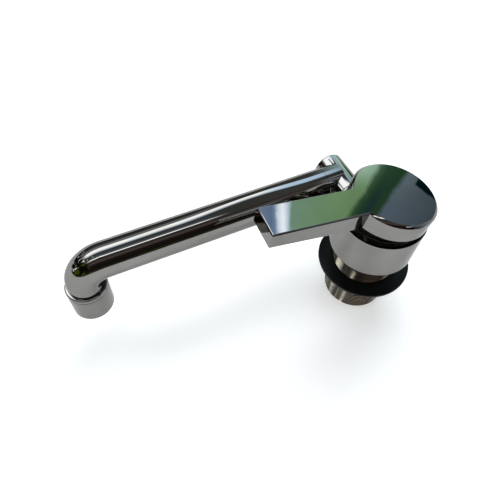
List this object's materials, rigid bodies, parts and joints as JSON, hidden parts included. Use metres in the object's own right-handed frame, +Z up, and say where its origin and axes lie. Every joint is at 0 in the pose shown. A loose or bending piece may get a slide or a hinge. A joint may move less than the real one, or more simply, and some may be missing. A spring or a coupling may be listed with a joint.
{
  "type": "basin mixer tap",
  "caption": "Low basin mixer tap with a flat lever handle on a round body and a bent spout that folds about a side arm, held by a threaded shank through the deck.",
  "frame": {"origin": "centre of the body's seat on the deck, on the body's axis", "axes": "+Z up out of the deck; the folded spout points towards -Y; the side arm points towards -X"},
  "size_m": [0.0742, 0.1806, 0.0903],
  "materials": {
    "chrome": "mirror polished chrome plate",
    "nickel_thread": "cut thread under thin dull nickel plate",
    "brass": "machined",
    "black_ring": "smooth black",
    "seal_rubber": "smooth black",
    "cover_black": "gloss black",
    "white_plastic": "moulded",
    "jet_plastic": "moulded",
    "stainless": "turned stainless steel",
    "ceramic": "lapped white ceramic"
  },
  "bodies": {
    "tap_body": {"body_shell": "chrome", "threaded_shank": "nickel_thread", "cartridge_base": "white_plastic", "port_seals": "seal_rubber", "disc_seals": "seal_rubber", "fixed_ceramic_disc": "ceramic", "cartridge_housing": "white_plastic", "cartridge_o_ring": "seal_rubber", "cartridge_nut": "brass", "cover_ring": "cover_black", "arm_spigot": "brass", "arm_o_rings": "seal_rubber", "arm_thrust_washer": "white_plastic", "arm_clip": "stainless"},
    "deck_ring": {"clamp_ring": "black_ring"},
    "spout": {"swivel_head": "chrome", "arm_end_cap": "chrome", "spout_tube": "chrome", "outlet_housing": "chrome", "outlet_washer": "seal_rubber", "outlet_insert": "jet_plastic", "outlet_flow_plate": "jet_plastic", "outlet_screen": "stainless"},
    "rotor": {"cartridge_rotor": "white_plastic", "pivot_pin": "stainless"},
    "moving_disc": {"moving_ceramic_disc": "ceramic", "disc_carrier": "white_plastic"},
    "lever": {"lever_stem": "stainless", "handle": "chrome", "grub_screw": "stainless"}
  },
  "joints": [
    {"name": "spout_swing", "type": "hinge", "parent": "tap_body", "child": "spout", "pos_m": [-0.0373, 0, 0.011], "axis": [-1, 0, 0], "range_deg": [0, 90]},
    {"name": "handle_turn", "type": "hinge", "parent": "tap_body", "child": "rotor", "pos_m": [0, 0, 0.0215], "axis": [0, 0, 1], "range_deg": [-42.6, 47.4]},
    {"name": "handle_lift", "type": "hinge", "parent": "rotor", "child": "lever", "pos_m": [0, 0, 0.0215], "axis": [-0.9991, 0.0419, 0], "range_deg": [-15, 0.5]},
    {"name": "disc_slide", "type": "slide", "parent": "rotor", "child": "moving_disc", "axis": [-0.0419, -0.9991, 0], "range_m": [-0.0018, 0.0001]},
    {"name": "ring_slide", "type": "slide", "parent": "tap_body", "child": "deck_ring", "axis": [0, 0, 1], "range_m": [-0.0253, 0.0157]}
  ],
  "couplings": [
    {"joint": "disc_slide", "follows": "handle_lift", "m_per_rad": 0.0065}
  ]
}
